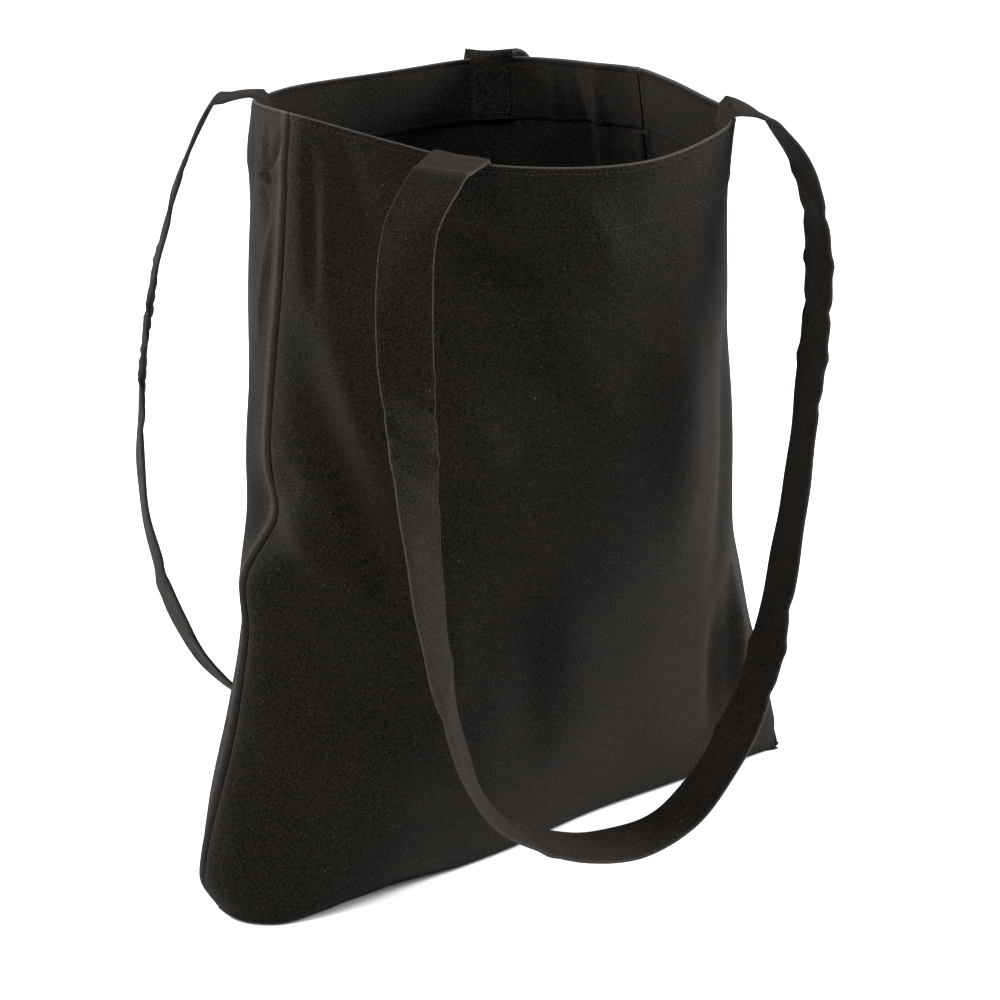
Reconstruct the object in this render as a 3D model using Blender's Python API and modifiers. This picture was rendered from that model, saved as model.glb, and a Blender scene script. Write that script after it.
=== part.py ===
"""Canvas tote bag: an open canvas tube with a turned hem, a flat bottom fold and two long handles.

The bag stands on the XY plane with its bottom edge along X and its front towards -Y.
Each sub-part is one object. Units are metres, and +Z is up.
"""

import math

import bmesh
import bpy
from mathutils import Vector

# driving dimensions
CLOTH = 0.0009
GAP = 0.0004
HEM_DEPTH = 0.035
HEM_STITCH_DEPTH = 0.032
STRAP_WIDTH = 0.028
STRAP_THICKNESS = 0.0018
THREAD_RADIUS = 0.0003

# how far each strap's sewn end reaches: down inside the hem, over the rim, and out to the handle
END_DEPTH = 0.034
END_OUT = 0.012
HANDLE_START = 0.020

# the sewn end's rows: shares of its depth below the rim, the last one just above it,
# then how far out from the crest and how far above it
END_DEPTH_SHARES = (1.0, 0.6, 0.25)
END_ABOVE_RIM = 0.0006
END_CREST_ROWS = ((-0.0012, 0.0004), (0.0030, 0.0010), (END_OUT, 0.0012))

# the box of stitches on each sewn end: its lower and upper edges below the rim, and its share of the strap
BOX_LOW = 0.0310
BOX_HIGH = 0.0030
BOX_SHARE = 0.82

# the box's inner edge and the half width of its cross, in a square that reaches from -1 to 1
BOX_INNER = 0.86
CROSS_ARM = 0.13

# side seam bars and the slots between the panels that hold them
SEAM_SLOT = 0.0034
SEAM_PROUD = 0.0010
SEAM_INWARD = 0.0050
SEAM_THICKNESS = 0.0016
SEAM_BELOW_HEM = 0.002

# bottom fold
FOLD_THICKNESS = 0.0012
FOLD_INSET = 0.0012
PANEL_START = FOLD_THICKNESS + GAP

# mesh densities
PANEL_COLUMNS = 44
PANEL_ROWS = 20
ROW_CROWDING = 1.25
HEM_ROWS = 4
HANDLE_STEPS = 84
FOLD_POINTS = 60
PATH_SAMPLES = 24

# how far apart, in shares, two points are taken to read a direction
WALL_STEP = 0.004
LOWEST_RISE = 0.002
PATH_STEP = 0.002

# where the strap centres stand along the rim, as a share of the round trip from the left seam
FRONT_LEFT_STRAP = 0.127
FRONT_RIGHT_STRAP = 0.366
BACK_RIGHT_STRAP = 0.643
BACK_LEFT_STRAP = 0.872

# the rim at rest, in millimetres: it sags between the seams, which stand highest
FRONT_RIM = [
    (-139, 10, 419),
    (-127, -17, 415),
    (-101, -58, 406),
    (-89, -74, 402),
    (-54, -94, 398),
    (-4, -110, 397),
    (46, -103, 402),
    (70, -88, 407),
    (77, -55, 411),
    (87, -10, 412),
    (93, 15, 411),
]
BACK_RIM = [
    (93, 15, 411),
    (92, 44, 409),
    (91, 80, 406),
    (80, 114, 403),
    (56, 126, 402),
    (-2, 122, 403),
    (-59, 115, 405),
    (-95, 100, 406),
    (-123, 62, 413),
    (-139, 10, 419),
]

# sections of the bag, in millimetres: the share of the rim's height, the front half from the left seam
# to the right one, and the back half on round to the left seam
SECTIONS = [
    (
        0.0,
        [
            (-192, 8), (-193, -12), (-176, -29), (-140, -34), (-80, -28),
            (-20, -22), (45, -9), (110, -4), (191, 2),
        ],
        [
            (191, 2), (178, 12), (100, 20), (0, 20), (-100, 18),
            (-178, 15), (-192, 8),
        ],
    ),
    (
        0.055,
        [
            (-203, 7), (-190, -20), (-140, -38), (-80, -37), (-20, -31),
            (45, -21), (110, -14), (166, -8), (189, 2),
        ],
        [
            (189, 2), (165, 18), (100, 27), (0, 30), (-100, 27),
            (-172, 20), (-203, 7),
        ],
    ),
    (
        0.25,
        [
            (-179, 9), (-155, -20), (-115, -42), (-60, -54), (0, -57),
            (55, -53), (104, -43), (140, -23), (166, 8),
        ],
        [
            (166, 8), (148, 32), (105, 52), (50, 62), (0, 64),
            (-60, 61), (-115, 50), (-156, 32), (-179, 9),
        ],
    ),
    (
        0.5,
        [
            (-162, 9), (-149, -22), (-116, -54), (-60, -77), (0, -85),
            (55, -81), (93, -66), (115, -36), (141, 15),
        ],
        [
            (141, 15), (137, 42), (108, 76), (58, 94), (0, 99),
            (-60, 95), (-113, 76), (-141, 48), (-162, 9),
        ],
    ),
    (
        0.73,
        [
            (-150, 9), (-140, -20), (-112, -57), (-60, -86), (-5, -98),
            (45, -94), (79, -76), (95, -40), (114, 16),
        ],
        [
            (114, 16), (113, 42), (100, 82), (60, 106), (0, 112),
            (-60, 108), (-110, 86), (-138, 50), (-150, 9),
        ],
    ),
]

# the buckle in the left side: a dent with a bulge under it, by share of the rim's height
DENT_RISE = 0.505
DENT_DEPTH = 0.011
BULGE_RISE = 0.425
BULGE_DEPTH = 0.006
BUCKLE_HEIGHT = 0.045
BUCKLE_SHARE = 0.03

# handle routes from rim to rim, in millimetres, each point with the strap's width direction
FRONT_ROUTE = [
    ((-92, -78, 407), (0.60, -0.80, -0.10)),
    ((-123, -91, 401), (0.60, -0.80, -0.05)),
    ((-147, -101, 378), (0.61, -0.79, 0.00)),
    ((-159, -113, 332), (0.85, -0.52, 0.00)),
    ((-160, -121, 278), (1.00, 0.00, 0.05)),
    ((-153, -125, 194), (0.90, 0.43, 0.10)),
    ((-133, -126, 108), (0.61, 0.75, 0.28)),
    ((-103, -126, 67), (0.25, 0.95, 0.20)),
    ((-44, -126, 42), (0.05, 0.90, 0.25)),
    ((13, -127, 50), (0.00, 1.00, 0.09)),
    ((57, -129, 107), (0.05, 1.00, 0.00)),
    ((83, -128, 209), (0.25, 0.97, -0.05)),
    ((101, -122, 312), (0.21, 0.97, -0.14)),
    ((102, -112, 370), (0.30, 0.93, -0.20)),
    ((90, -100, 399), (0.42, 0.88, -0.12)),
    ((74, -90, 412), (0.50, 0.86, 0.05)),
]
BACK_ROUTE = [
    ((-98, 103, 411), (-0.70, -0.70, 0.03)),
    ((-116, 115, 401), (-0.66, -0.75, 0.00)),
    ((-126, 130, 362), (-0.60, -0.80, 0.00)),
    ((-141, 139, 295), (-0.58, -0.81, 0.00)),
    ((-149, 140, 224), (-0.50, -0.86, 0.00)),
    ((-145, 140, 165), (-0.35, -0.93, 0.00)),
    ((-121, 140, 98), (-0.15, -0.99, 0.00)),
    ((-76, 140, 50), (0.00, -1.00, 0.00)),
    ((-10, 140, 40), (0.00, -1.00, 0.00)),
    ((55, 140, 72), (-0.25, -0.96, 0.00)),
    ((96, 140, 140), (-0.61, -0.75, 0.00)),
    ((112, 139, 220), (-0.86, -0.49, 0.00)),
    ((119, 136, 300), (-0.95, 0.00, 0.00)),
    ((117, 133, 350), (-0.85, 0.45, 0.00)),
    ((99, 130, 386), (-0.70, 0.70, 0.00)),
    ((80, 121, 405), (-0.62, 0.78, 0.00)),
]

CANVAS = ("canvas", (0.030, 0.027, 0.025), 0.92)
STRAP_CANVAS = ("strap_canvas", (0.034, 0.031, 0.028), 0.90)
THREAD = ("thread", (0.040, 0.037, 0.034), 0.70)


def millimetres(points):
    return [Vector(p) * 0.001 for p in points]


def remove_everything():
    for obj in list(bpy.data.objects):
        bpy.data.objects.remove(obj, do_unlink=True)


def catmull(before, start, end, after, t):
    """One point of the smooth curve that runs from start to end."""
    return 0.5 * (
        2 * start
        + (end - before) * t
        + (2 * before - 5 * start + 4 * end - after) * t * t
        + (3 * start - before - 3 * end + after) * t * t * t
    )


class SmoothPath:
    """A smooth curve through points, read by its share of the length."""

    def __init__(self, points, before=None, after=None):
        first = before or 2 * points[0] - points[1]
        last = after or 2 * points[-1] - points[-2]
        knots = [first] + list(points) + [last]
        self.samples = []
        for i in range(1, len(knots) - 2):
            for k in range(PATH_SAMPLES):
                t = k / PATH_SAMPLES
                self.samples.append(catmull(knots[i - 1], knots[i], knots[i + 1], knots[i + 2], t))
        self.samples.append(points[-1].copy())
        self.lengths = [0.0]
        for a, b in zip(self.samples, self.samples[1:]):
            self.lengths.append(self.lengths[-1] + (b - a).length)
        self.length = self.lengths[-1]

    def at(self, share):
        target = min(max(share, 0.0), 1.0) * self.length
        low, high = 0, len(self.lengths) - 1
        while high - low > 1:
            middle = (low + high) // 2
            if self.lengths[middle] <= target:
                low = middle
            else:
                high = middle
        span = self.lengths[high] - self.lengths[low]
        return self.samples[low].lerp(self.samples[high], (target - self.lengths[low]) / span)


def loop_paths(front, back):
    """The front and back halves of one closed outline, smooth where they meet."""
    front_path = SmoothPath(front, before=back[-2], after=back[1])
    back_path = SmoothPath(back, before=front[-2], after=front[1])
    return front_path, back_path


FRONT_RIM_PATH, BACK_RIM_PATH = loop_paths(millimetres(FRONT_RIM), millimetres(BACK_RIM))
SECTION_PATHS = []
for section_rise, section_front, section_back in SECTIONS:
    flat_front = millimetres([(x, y, 0) for x, y in section_front])
    flat_back = millimetres([(x, y, 0) for x, y in section_back])
    SECTION_PATHS.append((section_rise, *loop_paths(flat_front, flat_back)))
SECTION_PATHS.append((1.0, FRONT_RIM_PATH, BACK_RIM_PATH))


def loop_point(front, back, share):
    share = share % 1.0
    if share < 0.5:
        return front.at(share * 2)
    return back.at(share * 2 - 1)


def rim_point(share):
    return loop_point(FRONT_RIM_PATH, BACK_RIM_PATH, share)


def crest_point(share):
    """Where a handle turns on the rim."""
    return rim_point(share) + Vector((0.0, 0.0, GAP + STRAP_THICKNESS))


def base_point(share):
    return loop_point(*SECTION_PATHS[0][1:], share)


def buckle(share, rise):
    """How far the left side stands out from its smooth shape."""
    beside = (share + 0.5) % 1.0 - 0.5
    near = math.exp(-((beside / BUCKLE_SHARE) ** 2))
    dent = DENT_DEPTH * math.exp(-(((rise - DENT_RISE) / BUCKLE_HEIGHT) ** 2))
    bulge = BULGE_DEPTH * math.exp(-(((rise - BULGE_RISE) / BUCKLE_HEIGHT) ** 2))
    return near * (bulge - dent)


def wall_point(share, rise):
    """A point of the bag's outer face: share runs round from the left seam, rise from floor to rim."""
    rises = [section[0] for section in SECTION_PATHS]
    points = [loop_point(front, back, share) for _, front, back in SECTION_PATHS]
    place = max(i for i in range(len(rises) - 1) if rises[i] <= max(rise, 0.0))
    span = rises[place + 1] - rises[place]
    t = (rise - rises[place]) / span
    start, end = points[place], points[place + 1]
    slopes = []
    for i in (place, place + 1):
        low, high = max(i - 1, 0), min(i + 1, len(rises) - 1)
        slopes.append((points[high] - points[low]) / (rises[high] - rises[low]) * span)
    point = (
        start * (2 * t**3 - 3 * t**2 + 1)
        + slopes[0] * (t**3 - 2 * t**2 + t)
        + end * (3 * t**2 - 2 * t**3)
        + slopes[1] * (t**3 - t**2)
    )
    return Vector((point.x - buckle(share, rise), point.y, points[-1].z * rise))


def wall_normal(share, rise):
    around = wall_point(share + WALL_STEP, rise) - wall_point(share - WALL_STEP, rise)
    higher = wall_point(share, min(rise + WALL_STEP, 1.0))
    lower = wall_point(share, max(rise - WALL_STEP, LOWEST_RISE))
    return around.cross(higher - lower).normalized()


def wall_offset(share, rise, distance):
    return wall_point(share, rise) + wall_normal(share, rise) * distance


def rise_below_rim(share, depth):
    return 1.0 - depth / rim_point(share).z


def rise_above_floor(share, height):
    return height / rim_point(share).z


def share_of(length, share):
    """A length along the rim as a share of the round trip, on the half that holds share."""
    half = FRONT_RIM_PATH if share % 1.0 < 0.5 else BACK_RIM_PATH
    return 0.5 * length / half.length


def make_material(look):
    name, colour, roughness = look
    material = bpy.data.materials.get(name)
    if material:
        return material
    material = bpy.data.materials.new(name)
    material.use_nodes = True
    shader = material.node_tree.nodes["Principled BSDF"]
    shader.inputs["Base Color"].default_value = (*colour, 1.0)
    shader.inputs["Roughness"].default_value = roughness
    shader.inputs["Metallic"].default_value = 0.0
    return material


def add_object(name, data, look, collection):
    data.materials.append(make_material(look))
    obj = bpy.data.objects.new(name, data)
    collection.objects.link(obj)
    return obj


def sheet_mesh(name, rows):
    """A grid of points, given row by row, as a mesh of quads."""
    mesh = bpy.data.meshes.new(name)
    shape = bmesh.new()
    grid = [[shape.verts.new(point) for point in row] for row in rows]
    for lower, upper in zip(grid, grid[1:]):
        for i in range(len(lower) - 1):
            shape.faces.new((lower[i], lower[i + 1], upper[i + 1], upper[i]))
    bmesh.ops.triangulate(shape, faces=shape.faces[:])
    shape.to_mesh(mesh)
    shape.free()
    return mesh


def thicken(obj, thickness, offset):
    modifier = obj.modifiers.new("thickness", "SOLIDIFY")
    modifier.thickness = thickness
    modifier.offset = offset
    modifier.use_even_offset = True
    return obj


def panel_shares(first, last):
    return [first + (last - first) * i / PANEL_COLUMNS for i in range(PANEL_COLUMNS + 1)]


def slot_edges(first, last):
    """The panel's two side edges, clear of the seam bars."""
    slot = share_of(SEAM_SLOT, (first + last) / 2)
    return first + slot, last - slot


def row_rise(share, k):
    """The height of a panel's row k, with rows closer together near the floor."""
    floor = rise_above_floor(share, PANEL_START)
    return floor + (1.0 - floor) * (k / PANEL_ROWS) ** ROW_CROWDING


def make_panel(name, first, last, collection):
    start, end = slot_edges(first, last)
    shares = panel_shares(start, end)
    rows = []
    for k in range(PANEL_ROWS + 1):
        rows.append([wall_point(share, row_rise(share, k)) for share in shares])
    panel = add_object(name, sheet_mesh(name, rows), CANVAS, collection)
    return thicken(panel, CLOTH, -1.0)


def make_hem(name, first, last, collection):
    start, end = slot_edges(first, last)
    shares = panel_shares(start, end)
    rows = []
    for k in range(HEM_ROWS + 1):
        row = []
        for share in shares:
            low = rise_below_rim(share, HEM_DEPTH)
            row.append(wall_offset(share, low + (1.0 - low) * k / HEM_ROWS, -(CLOTH + GAP)))
        rows.append(row)
    hem = add_object(name, sheet_mesh(name, rows), CANVAS, collection)
    return thicken(hem, CLOTH, -1.0)


def make_side_seam(name, share, collection):
    """The sewn seam allowance: a flat bar in the slot between the panels, up to the hem."""
    low = rise_above_floor(share, PANEL_START + SEAM_INWARD)
    high = rise_below_rim(share, HEM_DEPTH + SEAM_BELOW_HEM)
    between = [row_rise(share, k) for k in range(PANEL_ROWS + 1)]
    rows = []
    for rise in [low] + [rise for rise in between if low < rise < high] + [high]:
        rows.append([wall_offset(share, rise, SEAM_PROUD), wall_offset(share, rise, -SEAM_INWARD)])
    seam = add_object(name, sheet_mesh(name, rows), CANVAS, collection)
    return thicken(seam, SEAM_THICKNESS, 0.0)


def make_bottom_fold(collection):
    """The flat bottom of the bag, whose underside rests on the floor."""
    curve = bpy.data.curves.new("bottom_fold", "CURVE")
    curve.dimensions = "2D"
    curve.fill_mode = "BOTH"
    curve.extrude = FOLD_THICKNESS / 2
    spline = curve.splines.new("POLY")
    spline.points.add(FOLD_POINTS - 1)
    spline.use_cyclic_u = True
    for i in range(FOLD_POINTS):
        share = i / FOLD_POINTS
        outward = wall_normal(share, WALL_STEP)
        outward.z = 0.0
        point = base_point(share) - outward.normalized() * FOLD_INSET
        spline.points[i].co = (point.x, point.y, 0.0, 1.0)
    fold = add_object("bottom_fold", curve, CANVAS, collection)
    fold.location.z = FOLD_THICKNESS / 2
    return fold


def sewn_row(share, depth):
    """The two long edges of a strap end inside the hem, depth below the rim."""
    half = share_of(STRAP_WIDTH / 2, share)
    inward = 2 * (CLOTH + GAP) + STRAP_THICKNESS / 2 + GAP
    return [
        wall_offset(edge, rise_below_rim(edge, depth), -inward)
        for edge in (share - half, share + half)
    ]


def strap_end_rows(share, route_start, route_next):
    """Rows of edge pairs: up the inside of the hem, over the rim and out to the handle."""
    rows = [sewn_row(share, part * END_DEPTH) for part in END_DEPTH_SHARES]
    rows.append(sewn_row(share, -END_ABOVE_RIM))
    across = (rows[-1][1] - rows[-1][0]).normalized()
    outward = route_next - route_start
    outward = (outward - across * outward.dot(across)).normalized()
    for out, lift in END_CREST_ROWS:
        centre = crest_point(share) + outward * out + Vector((0.0, 0.0, lift))
        rows.append([centre - across * STRAP_WIDTH / 2, centre + across * STRAP_WIDTH / 2])
    return rows


def make_strap_end(name, share, route, collection):
    start, following = millimetres([route[0][0], route[1][0]])
    rows = strap_end_rows(share, start, following)
    end = add_object(name, sheet_mesh(name, rows), STRAP_CANVAS, collection)
    return thicken(end, STRAP_THICKNESS, 0.0)


def box_cross_faces():
    """A sewn square with a cross in it, as flat polygons in a unit square."""
    inner, arm = BOX_INNER, CROSS_ARM
    corners = [(-1.0, 1.0), (1.0, 1.0), (1.0, -1.0), (-1.0, -1.0)]
    faces = []
    for turn in range(4):
        angle = -turn * math.pi / 2
        cosine, sine = round(math.cos(angle)), round(math.sin(angle))

        def turned(x, y, c=cosine, s=sine):
            return (x * c - y * s, x * s + y * c)

        left = turned(-inner + arm, inner)
        right = turned(inner - arm, inner)
        side = turned(-inner, inner - arm)
        faces.append([corners[turn], corners[(turn + 1) % 4], right, left])
        faces.append([corners[turn], left, turned(0, arm), (0.0, 0.0), turned(-arm, 0), side])
    return faces


def make_box_stitch(name, share, collection):
    """The thread that holds a strap end: a box with a cross, on the strap's inner face."""
    low = sewn_row(share, BOX_LOW)
    high = sewn_row(share, BOX_HIGH)
    middle = (low[0] + low[1] + high[0] + high[1]) / 4
    inward = -wall_normal(share, rise_below_rim(share, (BOX_LOW + BOX_HIGH) / 2))
    lift = inward * (STRAP_THICKNESS / 2 + 2 * GAP + THREAD_RADIUS)
    mesh = bpy.data.meshes.new(name)
    shape = bmesh.new()
    known = {}
    for face in box_cross_faces():
        verts = []
        for x, y in face:
            key = (round(x, 4), round(y, 4))
            if key not in known:
                u, v = (x + 1) / 2, (y + 1) / 2
                on_strap = low[0].lerp(low[1], u).lerp(high[0].lerp(high[1], u), v)
                inset = middle.lerp(on_strap, BOX_SHARE)
                known[key] = shape.verts.new(inset + lift)
            verts.append(known[key])
        shape.faces.new(verts)
    bmesh.ops.recalc_face_normals(shape, faces=shape.faces[:])
    bmesh.ops.triangulate(shape, faces=shape.faces[:])
    shape.to_mesh(mesh)
    shape.free()
    stitch = add_object(name, mesh, THREAD, collection)
    return thicken(stitch, 2 * THREAD_RADIUS, 0.0)


def make_hem_stitch(name, first, last, collection):
    """The thread that holds the turned hem, along the outer face."""
    start, end = slot_edges(first, last)
    curve = bpy.data.curves.new(name, "CURVE")
    curve.dimensions = "3D"
    curve.bevel_depth = THREAD_RADIUS
    curve.bevel_resolution = 2
    curve.use_fill_caps = True
    shares = panel_shares(start, end)
    spline = curve.splines.new("POLY")
    spline.points.add(len(shares) - 1)
    for i, share in enumerate(shares):
        rise = rise_below_rim(share, HEM_STITCH_DEPTH)
        point = wall_offset(share, rise, GAP + THREAD_RADIUS)
        spline.points[i].co = (*point, 1.0)
    return add_object(name, curve, THREAD, collection)


def handle_rows(route):
    """Rows of edge pairs along the free loop, clear of the rim at both ends."""
    path = SmoothPath(millimetres([point for point, _ in route]))
    knot_shares = [path.lengths[i * PATH_SAMPLES] / path.length for i in range(len(route))]
    widths = [Vector(direction).normalized() for _, direction in route]
    start = HANDLE_START / path.length
    rows = []
    for k in range(HANDLE_STEPS + 1):
        share = start + (1.0 - 2 * start) * k / HANDLE_STEPS
        place = max(i for i in range(len(route) - 1) if knot_shares[i] <= share)
        part = (share - knot_shares[place]) / (knot_shares[place + 1] - knot_shares[place])
        across = widths[place].lerp(widths[place + 1], part)
        tangent = path.at(share + PATH_STEP) - path.at(share - PATH_STEP)
        across = (across - tangent * across.dot(tangent) / tangent.length_squared).normalized()
        centre = path.at(share)
        rows.append([centre - across * STRAP_WIDTH / 2, centre + across * STRAP_WIDTH / 2])
    return rows


def make_handle(name, route, left_share, right_share, collection):
    """A free loop under an empty on the line through its two rim crests, about which it swings."""
    pivot = bpy.data.objects.new(name + "_pivot", None)
    pivot.location = (crest_point(left_share) + crest_point(right_share)) / 2
    collection.objects.link(pivot)
    rows = []
    for row in handle_rows(route):
        rows.append([point - pivot.location for point in row])
    handle = add_object(name, sheet_mesh(name, rows), STRAP_CANVAS, collection)
    handle.parent = pivot
    return thicken(handle, STRAP_THICKNESS, 0.0)


def main():
    remove_everything()
    collection = bpy.data.collections.new("canvas_tote_bag")
    bpy.context.scene.collection.children.link(collection)

    make_panel("front_panel", 0.0, 0.5, collection)
    make_panel("back_panel", 0.5, 1.0, collection)
    make_hem("front_hem", 0.0, 0.5, collection)
    make_hem("back_hem", 0.5, 1.0, collection)
    make_side_seam("left_side_seam", 0.0, collection)
    make_side_seam("right_side_seam", 0.5, collection)
    make_bottom_fold(collection)
    make_hem_stitch("front_hem_stitching", 0.0, 0.5, collection)
    make_hem_stitch("back_hem_stitching", 0.5, 1.0, collection)

    straps = [
        ("front_handle_left", FRONT_LEFT_STRAP, FRONT_ROUTE),
        ("front_handle_right", FRONT_RIGHT_STRAP, FRONT_ROUTE[::-1]),
        ("back_handle_right", BACK_RIGHT_STRAP, BACK_ROUTE[::-1]),
        ("back_handle_left", BACK_LEFT_STRAP, BACK_ROUTE),
    ]
    for name, share, route in straps:
        make_strap_end(name + "_end", share, route, collection)
        make_box_stitch(name + "_stitching", share, collection)
    make_handle("front_handle", FRONT_ROUTE, FRONT_LEFT_STRAP, FRONT_RIGHT_STRAP, collection)
    make_handle("back_handle", BACK_ROUTE, BACK_LEFT_STRAP, BACK_RIGHT_STRAP, collection)


main()
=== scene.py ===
"""Canvas tote bag, the looks: standing canvas, turned hems, seams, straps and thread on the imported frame."""
import math

import bmesh
import bpy
import numpy as np
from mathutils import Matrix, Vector


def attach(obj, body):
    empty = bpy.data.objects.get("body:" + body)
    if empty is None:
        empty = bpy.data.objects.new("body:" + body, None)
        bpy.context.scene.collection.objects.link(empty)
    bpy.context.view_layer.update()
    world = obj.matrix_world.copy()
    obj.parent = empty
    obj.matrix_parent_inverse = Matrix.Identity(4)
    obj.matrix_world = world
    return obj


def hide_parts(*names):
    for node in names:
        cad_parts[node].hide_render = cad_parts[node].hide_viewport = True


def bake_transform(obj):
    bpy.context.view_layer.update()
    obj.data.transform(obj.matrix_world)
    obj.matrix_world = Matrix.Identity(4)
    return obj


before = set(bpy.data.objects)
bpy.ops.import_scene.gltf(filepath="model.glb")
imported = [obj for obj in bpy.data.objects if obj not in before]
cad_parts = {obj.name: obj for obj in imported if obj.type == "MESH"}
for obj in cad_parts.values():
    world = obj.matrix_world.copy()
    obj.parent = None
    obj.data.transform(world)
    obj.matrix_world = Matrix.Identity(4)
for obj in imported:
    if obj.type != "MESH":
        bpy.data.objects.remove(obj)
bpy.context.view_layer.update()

# driving dimensions, in metres
BAG_WIDTH = 0.380
BAG_HEIGHT = 0.420
CLOTH = 0.0007
HEM_DEPTH = 0.035
HEM_STEP = 0.0007
RIM_ROLL = 0.0010
LIFTED_CREASE = 0.0078
PRESSED_CREASE = 0.0024
FLOOR_GAP = 0.0011
SEAM_ALLOWANCE = 0.011
STRAP_WIDTH = 0.028
STRAP_THICKNESS = 0.0022
END_DEPTH = 0.034
SEWN_DEPTHS = (END_DEPTH, 0.024, 0.014, 0.006)
SEWN_GAP = 0.0006
CREST_LIFT = 0.0014
CREST_REACH = 0.50
CREST_CROWN = 0.0015

THREAD = 0.00024
STITCH_PITCH = 0.0032
STITCH_SHARE = 0.72
EDGE_ROW = 0.88
BOX_WIDTH_SHARE = 0.80
BOX_DEPTHS = (0.0305, 0.0075)
HEM_ROW_DEPTH = 0.0320
RIM_ROW_DEPTH = 0.0035

# mesh densities
PANEL_COLUMNS = 150
WALL_ROWS = 150
ROLL_STEPS = 6
LINE_STEPS = 24
STRAP_STEP = 0.0028
TANGENT_STEP = 0.0015

# where the strap centres stand along the rim, as a share of the round trip from the left seam
FRONT_LEFT_STRAP = 0.127
FRONT_RIGHT_STRAP = 0.366
BACK_RIGHT_STRAP = 0.643
BACK_LEFT_STRAP = 0.872

# the rim: it sags between the seams, which stand highest
FRONT_RIM = [
    (-0.139, 0.010, 0.419),
    (-0.127, -0.017, 0.415),
    (-0.101, -0.058, 0.406),
    (-0.089, -0.074, 0.402),
    (-0.054, -0.094, 0.398),
    (-0.004, -0.110, 0.397),
    (0.046, -0.103, 0.402),
    (0.070, -0.088, 0.407),
    (0.077, -0.055, 0.411),
    (0.087, -0.010, 0.412),
    (0.093, 0.015, 0.411),
]
BACK_RIM = [
    (0.093, 0.015, 0.411),
    (0.092, 0.044, 0.409),
    (0.091, 0.080, 0.406),
    (0.080, 0.114, 0.403),
    (0.056, 0.126, 0.402),
    (-0.002, 0.122, 0.403),
    (-0.059, 0.115, 0.405),
    (-0.095, 0.100, 0.406),
    (-0.123, 0.062, 0.413),
    (-0.139, 0.010, 0.419),
]

# sections of the bag below the rim: share of the rim's height, the front half from the left seam,
# and the back half on round to it
SECTIONS = [
    (
        0.0,
        [(-0.192, 0.008), (-0.193, -0.012), (-0.176, -0.029), (-0.140, -0.034), (-0.080, -0.028),
         (-0.020, -0.022), (0.045, -0.009), (0.110, -0.004), (0.191, 0.002)],
        [(0.191, 0.002), (0.178, 0.012), (0.100, 0.020), (0.0, 0.020), (-0.100, 0.018),
         (-0.178, 0.015), (-0.192, 0.008)],
    ),
    (
        0.055,
        [(-0.203, 0.007), (-0.190, -0.020), (-0.140, -0.038), (-0.080, -0.037), (-0.020, -0.031),
         (0.045, -0.021), (0.110, -0.014), (0.166, -0.008), (0.189, 0.002)],
        [(0.189, 0.002), (0.165, 0.018), (0.100, 0.027), (0.0, 0.030), (-0.100, 0.027),
         (-0.172, 0.020), (-0.203, 0.007)],
    ),
    (
        0.25,
        [(-0.179, 0.009), (-0.155, -0.020), (-0.115, -0.042), (-0.060, -0.054), (0.0, -0.057),
         (0.055, -0.053), (0.104, -0.043), (0.140, -0.023), (0.166, 0.008)],
        [(0.166, 0.008), (0.148, 0.032), (0.105, 0.052), (0.050, 0.062), (0.0, 0.064),
         (-0.060, 0.061), (-0.115, 0.050), (-0.156, 0.032), (-0.179, 0.009)],
    ),
    (
        0.5,
        [(-0.162, 0.009), (-0.149, -0.022), (-0.116, -0.054), (-0.060, -0.077), (0.0, -0.085),
         (0.055, -0.081), (0.093, -0.066), (0.115, -0.036), (0.141, 0.015)],
        [(0.141, 0.015), (0.137, 0.042), (0.108, 0.076), (0.058, 0.094), (0.0, 0.099),
         (-0.060, 0.095), (-0.113, 0.076), (-0.141, 0.048), (-0.162, 0.009)],
    ),
    (
        0.73,
        [(-0.150, 0.009), (-0.140, -0.020), (-0.112, -0.057), (-0.060, -0.086), (-0.005, -0.098),
         (0.045, -0.094), (0.079, -0.076), (0.095, -0.040), (0.114, 0.016)],
        [(0.114, 0.016), (0.113, 0.042), (0.100, 0.082), (0.060, 0.106), (0.0, 0.112),
         (-0.060, 0.108), (-0.110, 0.086), (-0.138, 0.050), (-0.150, 0.009)],
    ),
]

# the buckle in the left side: a dent with a bulge under it, by share of the rim's height
DENT_RISE = 0.505
DENT_DEPTH = 0.011
BULGE_RISE = 0.425
BULGE_DEPTH = 0.006
BUCKLE_HEIGHT = 0.045
BUCKLE_SHARE = 0.03

# handle routes from rim to rim, each point with the strap's width direction
FRONT_ROUTE = [
    ((-0.092, -0.078, 0.407), (0.60, -0.80, -0.10)),
    ((-0.123, -0.091, 0.401), (0.60, -0.80, -0.05)),
    ((-0.147, -0.101, 0.378), (0.61, -0.79, 0.00)),
    ((-0.159, -0.113, 0.332), (0.85, -0.52, 0.00)),
    ((-0.160, -0.121, 0.278), (1.00, 0.00, 0.05)),
    ((-0.153, -0.125, 0.194), (0.90, 0.43, 0.10)),
    ((-0.133, -0.126, 0.108), (0.61, 0.75, 0.28)),
    ((-0.103, -0.126, 0.067), (0.25, 0.95, 0.20)),
    ((-0.044, -0.126, 0.042), (0.05, 0.90, 0.25)),
    ((0.013, -0.127, 0.050), (0.00, 1.00, 0.09)),
    ((0.057, -0.129, 0.107), (0.05, 1.00, 0.00)),
    ((0.083, -0.128, 0.209), (0.25, 0.97, -0.05)),
    ((0.101, -0.122, 0.312), (0.21, 0.97, -0.14)),
    ((0.102, -0.112, 0.370), (0.30, 0.93, -0.20)),
    ((0.090, -0.100, 0.399), (0.42, 0.88, -0.12)),
    ((0.074, -0.090, 0.412), (0.50, 0.86, 0.05)),
]
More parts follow.
